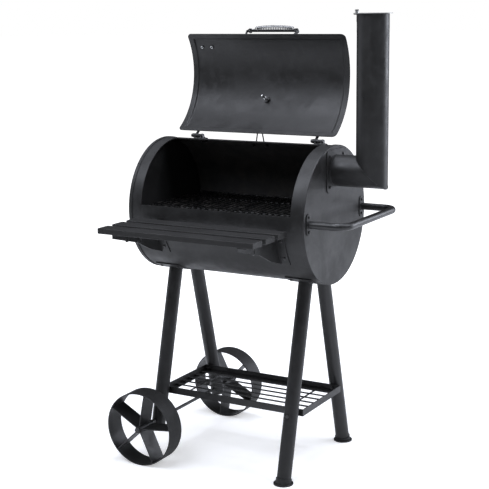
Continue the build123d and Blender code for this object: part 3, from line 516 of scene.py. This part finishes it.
def joined(meshes):
    """Several meshes as one."""
    work = bmesh.new()
    for mesh in meshes:
        work.from_mesh(mesh)
    made = bpy.data.meshes.new("joined")
    work.to_mesh(made)
    work.free()
    return made


def weld_bead(path, width):
    """A laid weld bead round a closed path: rippled, and a little uneven in width."""
    radii = []
    length = 0.0
    for i, point in enumerate(path):
        if i:
            length += (point - path[i - 1]).length
        ripple = 0.10 * math.sin(length / (width * 0.9) * math.pi)
        uneven = 0.16 * noise.noise(point * 160)
        radii.append(width * (0.86 + ripple + uneven))
    return tube(path, radii, BEAD_SIDES, closed=True)


def shut_to_open(point):
    """A point on the shut lid, turned back to where the lid rests."""
    return LID_TURN @ (point - LID_PIN) + LID_PIN


def on_lid(x, angle, radius):
    """A point at x, angle and radius about the barrel's axis on the shut lid, in millimetres, then opened."""
    turned = math.radians(angle)
    out = Vector((0, math.cos(turned), math.sin(turned)))
    return shut_to_open(BARREL_AXIS + Vector((x * MM, 0, 0)) + out * radius * MM)


# ---- lid: one pressed sheet with a soft step all round, rounded corners and eased edges --------------
def spread(length, fine):
    """Grid lines over a length: the fine ones near both ends, even ones between."""
    middle = length - 2 * fine[-1]
    steps = max(2, round(middle / 9))
    even = [fine[-1] + middle * i / steps for i in range(1, steps)]
    return list(fine) + even + [length - value for value in reversed(fine)]


def rounded_corner(across, along, half_across, half_along):
    """Moves a grid point near a corner so that the outline's corner is round."""
    p = (abs(across) - (half_across - LID_CORNER)) / LID_CORNER
    q = (abs(along) - (half_along - LID_CORNER)) / LID_CORNER
    if p <= 0 or q <= 0:
        return across, along
    round_p = p * math.sqrt(1 - q * q / 2)
    round_q = q * math.sqrt(1 - p * p / 2)
    return (math.copysign(half_across - LID_CORNER + round_p * LID_CORNER, across),
            math.copysign(half_along - LID_CORNER + round_q * LID_CORNER, along))


def inside_distance(across, along, half_across, half_along):
    """How far a point lies inside the lid's rounded outline."""
    p = abs(across) - (half_across - LID_CORNER)
    q = abs(along) - (half_along - LID_CORNER)
    if p > 0 and q > 0:
        return LID_CORNER - math.hypot(p, q)
    return LID_CORNER - max(p, q)


def held(value):
    """A value kept between 0 and 1."""
    return min(max(value, 0), 1)


def lid_sheet():
    """The lid's inner surface as a grid; a modifier gives it its thickness."""
    fine = (0, 0.8, 2.2, 4, 7, 10.5, 14, 15.6, 16.8, 17.8, 18.8, 19.8, 20.8, 22, 24, 28, 34)
    step_lead, step_run = 1.6, 4.2      # how far before the rim's inner edge the step starts, and its width
    wave_height = 0.18
    flat_edge, fade_run = 26, 40        # the waves start this far in, and take this far to reach full height
    radius = LID_RIM_RADIUS + SHEET / 2
    half_along = math.radians(LID_ANGLES[1] - LID_ANGLES[0]) * radius / 2
    middle = sum(LID_ANGLES) / 2
    columns = spread(2 * LID_HALF, fine)
    rows = spread(2 * half_along, fine)
    work = bmesh.new()
    grid = []
    for row in rows:
        line = []
        for column in columns:
            across, along = rounded_corner(column - LID_HALF, row - half_along, LID_HALF, half_along)
            depth = inside_distance(across, along, LID_HALF, half_along)
            t = held((depth - LID_RIM_WIDTH + step_lead) / step_run)
            rise = LID_STEP * t * t * (3 - 2 * t)
            waves = wave_height * noise.noise(Vector((across / 130, along / 90, 4.0)))
            panel = held((depth - flat_edge) / fade_run)
            surface = LID_RIM_RADIUS + rise + waves * panel - wave_height * panel
            angle = middle + math.degrees(along / radius)
            line.append(work.verts.new(on_lid(across, angle, surface)))
        grid.append(line)
    for i in range(len(grid) - 1):
        for k in range(len(columns) - 1):
            work.faces.new((grid[i][k], grid[i][k + 1], grid[i + 1][k + 1], grid[i + 1][k]))
    bmesh.ops.recalc_face_normals(work, faces=work.faces)
    centre = shut_to_open(BARREL_AXIS)
    work.faces.ensure_lookup_table()
    sample = work.faces[len(work.faces) // 2]
    outward = sample.calc_center_median() - centre
    outward.x = 0
    if sample.normal.dot(outward) < 0:
        bmesh.ops.reverse_faces(work, faces=work.faces)
    mesh = bpy.data.meshes.new("lid_sheet")
    work.to_mesh(mesh)
    work.free()
    return mesh


lid_shell = piece("lid_pressed_sheet", lid_sheet(), finishes["lid_paint"], "lid")
thicken = lid_shell.modifiers.new("thickness", "SOLIDIFY")
thicken.thickness = SHEET * MM
thicken.offset = 1
ease = lid_shell.modifiers.new("eased_edge", "BEVEL")
ease.width = 0.6 * MM
ease.segments = 3
ease.limit_method = "ANGLE"
ease.angle_limit = math.radians(60)
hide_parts("lid")


# ---- spring handle: one wire wound into a barrel-shaped coil, with an eye at each end ----------------
handle_up = (on_lid(0, GRIP_ANGLE, GRIP_RADIUS) - on_lid(0, GRIP_ANGLE, LID_OUTSIDE)).normalized()
handle_side = Vector((1, 0, 0)).cross(handle_up)
grip_height = GRIP_RADIUS - LID_OUTSIDE


def on_handle(x, side, height):
    """A point on the handle: along it, to its side and above the lid, in millimetres."""
    foot = on_lid(x, GRIP_ANGLE, LID_OUTSIDE)
    return foot + (handle_side * side + handle_up * height) * MM


def coil_path():
    """The wire's line: left eye, climb, turns, descent, right eye."""
    bridge_top = grip_height - COIL_MIDDLE - BRIDGE_DROP
    eye_height = bridge_top + BRIDGE_THICKNESS / 2 + SMALL_GAP + COIL_WIRE / 2
    wound = COIL_HALF - 3
    turns = []
    total = COIL_TURNS * STEPS_PER_TURN
    for i in range(total + 1):
        t = i / total * 2 - 1
        bulge = COIL_END + (COIL_MIDDLE - COIL_END) * (1 - t * t)
        radius = bulge - COIL_WIRE / 2
        turn = math.tau * i / STEPS_PER_TURN - math.pi / 2
        turns.append(on_handle(t * wound, radius * math.cos(turn), grip_height + radius * math.sin(turn)))

    def eye(side, from_angle):
        """Points round one eye, starting at its free end."""
        made = []
        for i in range(EYE_STEPS + 1):
            turn = math.radians(from_angle + EYE_SWEEP * i / EYE_STEPS)
            made.append(on_handle(side * (EYE_X + EYE_RADIUS * math.cos(turn)),
                                  EYE_RADIUS * math.sin(turn), eye_height))
        return made

    left, right = eye(-1, 75), eye(1, 75)
    blend_left = [left[-1].lerp(turns[0], t) for t in (0.35, 0.7)]
    blend_right = [turns[-1].lerp(right[-1], t) for t in (0.3, 0.65)]
    for point, lift in zip(blend_left + blend_right, (0.5, 0.8, 0.8, 0.5)):
        point += handle_up * lift * MM
    return left + blend_left + turns + blend_right + list(reversed(right))


coil = piece("handle_wire_coil", tube(coil_path(), COIL_WIRE / 2 * MM, 10), finishes["coil_steel"],
             "lid")
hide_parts("handle_coil")


# ---- weld beads --------------------------------------------------------------------------------------
pipe_low, pipe_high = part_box("chimney_pipe")
elbow_low, elbow_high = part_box("chimney_elbow")
flange_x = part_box("chimney_flange")[1].x
pipe_x = (pipe_low.x + pipe_high.x) / 2
pipe_y = (pipe_low.y + pipe_high.y) / 2
flue_z = (elbow_low.z + elbow_high.z) / 2


def ring_points(count, place):
    """Points of a closed path, from a rule that takes the turn in radians."""
    return [place(math.tau * i / count) for i in range(count)]


def mitre_point(turn):
    """Where the pipe and the stub meet, just inside their outer surface."""
    radius = (PIPE_RADIUS - 0.3) * MM
    across, reach = radius * math.sin(turn), radius * math.cos(turn)
    return Vector((pipe_x + reach, pipe_y + across, flue_z - reach))


def stub_point(turn):
    """Where the stub stands on its flange."""
    radius = (PIPE_RADIUS + 0.4) * MM
    across, rise = radius * math.cos(turn), radius * math.sin(turn)
    return Vector((flange_x + BEAD_STAND * MM, pipe_y + across, flue_z + rise))


beads = [weld_bead(ring_points(PIPE_BEAD_POINTS, mitre_point), MITRE_BEAD * MM),
         weld_bead(ring_points(PIPE_BEAD_POINTS, stub_point), STUB_BEAD * MM)]
piece("chimney_weld_beads", joined(beads), finishes["chimney_paint"], "cooker")

plates_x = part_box("push_plates")[1].x
handle_low, handle_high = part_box("push_handle")
tube_radius = (handle_high.z - handle_low.z) / 2
tube_z = (handle_high.z + handle_low.z) / 2
beads = []
for tube_y in (handle_low.y + tube_radius, handle_high.y - tube_radius):
    def tube_foot(turn, y=tube_y):
        """Where a leg of the push handle stands on its plate."""
        radius = tube_radius + 0.0003
        across, rise = radius * math.cos(turn), radius * math.sin(turn)
        return Vector((plates_x + BEAD_STAND * MM, y + across, tube_z + rise))
    beads.append(weld_bead(ring_points(HANDLE_BEAD_POINTS, tube_foot), HANDLE_BEAD * MM))
piece("push_handle_weld_beads", joined(beads), finishes["push_gloss"], "cooker")


# ---- thermometer dial print --------------------------------------------------------------------------
dial_height = LID_OUTSIDE + DIAL_STAND
dial_centre = on_lid(0, THERMOMETER_ANGLE, dial_height + 0.06)
dial_foot, dial_tip = (on_lid(0, THERMOMETER_ANGLE, dial_height + rise) for rise in (0, 1))
dial_out = (dial_tip - dial_foot).normalized()
dial_right = Vector((1, 0, 0))
dial_up = dial_out.cross(dial_right)
DIAL_START, DIAL_SWEEP = 225, 270
DIAL_MARKS = 45
MARKS_PER_LONG_TICK, MARKS_PER_NUMBER = 5, 10
LOWEST_NUMBER, NUMBER_STEP = 50, 7  # the number at the first mark, and the rise from each mark to the next
TICK_OUTER, LONG_TICK_INNER, SHORT_TICK_INNER = 23.6, 19.6, 21.4
LONG_TICK_WIDTH, SHORT_TICK_WIDTH = 0.7, 0.35
BAND_RADII = (17.2, 18.6)
NUMBER_RADIUS, NUMBER_SIZE = 13.2, 4.6


def on_dial(radius, angle):
    """A point on the dial by radius in millimetres and angle from its right-hand side."""
    turn = math.radians(angle)
    return dial_centre + (dial_right * math.cos(turn) + dial_up * math.sin(turn)) * radius * MM


def dial_shapes(shapes):
    """Flat printed shapes, each a loop of points."""
    work = bmesh.new()
    for shape in shapes:
        work.faces.new([work.verts.new(point) for point in shape])
    mesh = bpy.data.meshes.new("print")
    work.to_mesh(mesh)
    work.free()
    return mesh


def dial_mark(angle, inner, outer, width):
    """A tick whose width is even."""
    half = math.degrees(width / 2 / outer)
    return [on_dial(inner, angle - half), on_dial(outer, angle - half),
            on_dial(outer, angle + half), on_dial(inner, angle + half)]


def dial_band(inner, outer, start, end):
    """A coloured arc in short quads."""
    shapes = []
    steps = 24
    for i in range(steps):
        a = start + (end - start) * i / steps
        b = start + (end - start) * (i + 1) / steps
        shapes.append([on_dial(inner, a), on_dial(outer, a), on_dial(outer, b), on_dial(inner, b)])
    return shapes


ticks = []
for i in range(DIAL_MARKS + 1):
    tick_angle = DIAL_START - DIAL_SWEEP * i / DIAL_MARKS
    if i % MARKS_PER_LONG_TICK == 0:
        ticks.append(dial_mark(tick_angle, LONG_TICK_INNER, TICK_OUTER, LONG_TICK_WIDTH))
    else:
        ticks.append(dial_mark(tick_angle, SHORT_TICK_INNER, TICK_OUTER, SHORT_TICK_WIDTH))
piece("thermometer_ticks", dial_shapes(ticks), ink("ink_black", grey(0.012)), "lid", smooth=False)
for name, colour, start, end in (
    ("thermometer_band_warm", (0.60, 0.34, 0.03, 1), 171, 99),
    ("thermometer_band_smoke", (0.05, 0.22, 0.06, 1), 97, 45),
    ("thermometer_band_hot", (0.42, 0.03, 0.02, 1), 43, -45),
):
    band = dial_shapes(dial_band(*BAND_RADII, start, end))
    piece(name, band, ink("ink_" + name, colour), "lid", smooth=False)

number_ink = ink("ink_numbers", grey(0.012))
for i in range(0, DIAL_MARKS + 1, MARKS_PER_NUMBER):
    number_angle = DIAL_START - DIAL_SWEEP * i / DIAL_MARKS
    text = bpy.data.curves.new(f"dial_number_{i}", "FONT")
    text.body = str(LOWEST_NUMBER + i * NUMBER_STEP)
    text.size = NUMBER_SIZE * MM
    text.align_x = "CENTER"
    text.align_y = "CENTER"
    text.resolution_u = 3
    number = bpy.data.objects.new("dial_text", text)
    bpy.context.scene.collection.objects.link(number)
    facing = Matrix((dial_right, dial_up, dial_out)).transposed().to_4x4()
    number.matrix_world = Matrix.Translation(on_dial(NUMBER_RADIUS, number_angle)) @ facing
    bpy.context.view_layer.update()
    shown = bpy.data.meshes.new_from_object(number.evaluated_get(bpy.context.evaluated_depsgraph_get()))
    shown.transform(number.matrix_world)
    bpy.data.objects.remove(number)
    piece(f"thermometer_number_{i}", shown, number_ink, "lid", smooth=False)


# ---- floor, light and camera --------------------------------------------------------------------------
def flat_material(name, colour, near, far):
    """Matt pale surface with a faint mottle, which glows towards its edge to meet the white backdrop."""
    made = Finish(name, (colour, colour, colour, 1), 0.9, specular=0.1)
    tree, place = made.tree, made.place
    made.tint(grey(colour * 0.985), ramp(tree, grain(tree, place, 3, 3), 0.4, 0.7, 0, 0.5))
    seen = node(tree, "ShaderNodeLightPath").outputs["Is Camera Ray"]
    distance = node(tree, "ShaderNodeVectorMath", {0: place}, operation="LENGTH").outputs["Value"]
    glow = ramp(tree, distance, *GLOW_REACH, near, far)
    made.shader.inputs["Emission Color"].default_value = (1, 1, 1, 1)
    strength = sum_of(tree, "ADD", sum_of(tree, "MULTIPLY", seen, glow), FLOOR_BOUNCE)
    tree.links.new(strength, made.shader.inputs["Emission Strength"])
    return made.done()


def studio_floor():
    """A wide disc just under the feet."""
    work = bmesh.new()
    bmesh.ops.create_circle(work, cap_ends=True, segments=96, radius=FLOOR_RADIUS)
    mesh = bpy.data.meshes.new("floor")
    work.to_mesh(mesh)
    work.free()
    mesh.materials.append(flat_material("studio_floor", 0.9, *FLOOR_GLOW))
    floor = bpy.data.objects.new("studio_floor", mesh)
    floor.location.z = cad_low.z - FLOOR_GAP
    bpy.context.scene.collection.objects.link(floor)


def softbox(name, place, target, size, power):
    """A rectangular area light turned towards a point."""
    light = bpy.data.lights.new(name, "AREA")
    light.shape = "RECTANGLE"
    light.size, light.size_y = size
    light.energy = power
    light.color = LIGHT_TINT
    lamp = bpy.data.objects.new(name, light)
    lamp.location = place
    lamp.rotation_euler = (Vector(target) - Vector(place)).to_track_quat("-Z", "Y").to_euler()
    bpy.context.scene.collection.objects.link(lamp)
    return lamp


CAMERA_AZIMUTH = 29.92
LIGHT_DISTANCE = 4.0
LIGHT_TARGET = Vector((0, 0, 0.75))
LIGHT_TINT = (0.93, 0.97, 1.08)
AMBIENT = 0.045
# each softbox: degrees to the camera's right, degrees up, width and height in metres, watts.
# Which lights are here, and all the watts but key_right's, were worked out by a
# separate least-squares program, and rounded.
SOFTBOXES = {
    "strip_left": (-110, 12, 2.0, 2.2, 15),
    "key_right": (110, 12, 2.0, 2.2, 68),
    "front_low": (35, 12, 2.0, 2.2, 3),
    "high_left": (-70, 48, 2.0, 2.0, 42),
    "high_front": (-35, 48, 2.0, 2.0, 51),
    "high_right": (70, 48, 2.0, 2.0, 73),
    "high_back": (-150, 48, 2.0, 2.0, 5),
    "overhead": (0, 90, 2.4, 2.4, 120),
}
FLOOR_RADIUS, FLOOR_GAP = 60, 0.0005
FLOOR_GLOW = (0.36, 1.0)            # as the camera sees it, near the object and far from it
GLOW_REACH = (0.7, 3.0)             # the distances over which the glow rises
FLOOR_BOUNCE = 0.08


def from_target(azimuth, elevation, distance):
    """A place round the lights' target, with its azimuth counted from the camera's."""
    turn, rise = math.radians(CAMERA_AZIMUTH + azimuth), math.radians(elevation)
    out = Vector((math.sin(turn) * math.cos(rise), -math.cos(turn) * math.cos(rise), math.sin(rise)))
    return LIGHT_TARGET + out * distance


def studio_world():
    """White behind the object, and a very low ambient light on it."""
    world = bpy.data.worlds.new("studio")
    world.use_nodes = True
    tree = world.node_tree
    sky = tree.nodes["Background"]
    sky.inputs["Color"].default_value = (1, 1, 1, 1)
    seen = node(tree, "ShaderNodeLightPath").outputs["Is Camera Ray"]
    tree.links.new(ramp(tree, seen, 0, 1, AMBIENT, 1.0, smooth=False), sky.inputs["Strength"])
    bpy.context.scene.world = world


studio_floor()
studio_world()
for box_name, (box_azimuth, box_rise, box_width, box_height, watts) in SOFTBOXES.items():
    softbox(box_name, from_target(box_azimuth, box_rise, LIGHT_DISTANCE), LIGHT_TARGET,
            (box_width, box_height), watts)

object_middle = (cad_low + cad_high) / 2
# CAMERA_AZIMUTH and the values below, apart from SENSOR_WIDTH, were worked out with
# separate programs.
CAMERA_PITCH = 11.3
CAMERA_ROLL = -0.71
CAMERA_DISTANCE = 3.4805
CAMERA_LENS = 87.2
SENSOR_WIDTH = 36
CAMERA_AIM = Vector((-0.0267, -0.0173, -0.0050))


def photo_camera():
    """The camera, from its angles and distance to a point near the middle of the object."""
    azimuth, pitch = math.radians(CAMERA_AZIMUTH), math.radians(CAMERA_PITCH)
    flat = math.cos(pitch)
    back = Vector((math.sin(azimuth) * flat, -math.cos(azimuth) * flat, math.sin(pitch)))
    camera = bpy.data.objects.new("camera", bpy.data.cameras.new("camera"))
    camera.data.lens = CAMERA_LENS
    camera.data.sensor_width = SENSOR_WIDTH
    camera.data.clip_start, camera.data.clip_end = 0.05, 200
    camera.location = object_middle + CAMERA_AIM + back * CAMERA_DISTANCE
    level = (-back).to_track_quat("-Z", "Y")
    roll = Matrix.Rotation(math.radians(CAMERA_ROLL), 4, "Z")
    camera.rotation_euler = (level.to_matrix().to_4x4() @ roll).to_euler()
    bpy.context.scene.collection.objects.link(camera)
    bpy.context.scene.camera = camera


photo_camera()
bpy.context.scene.view_settings.view_transform = "Standard"
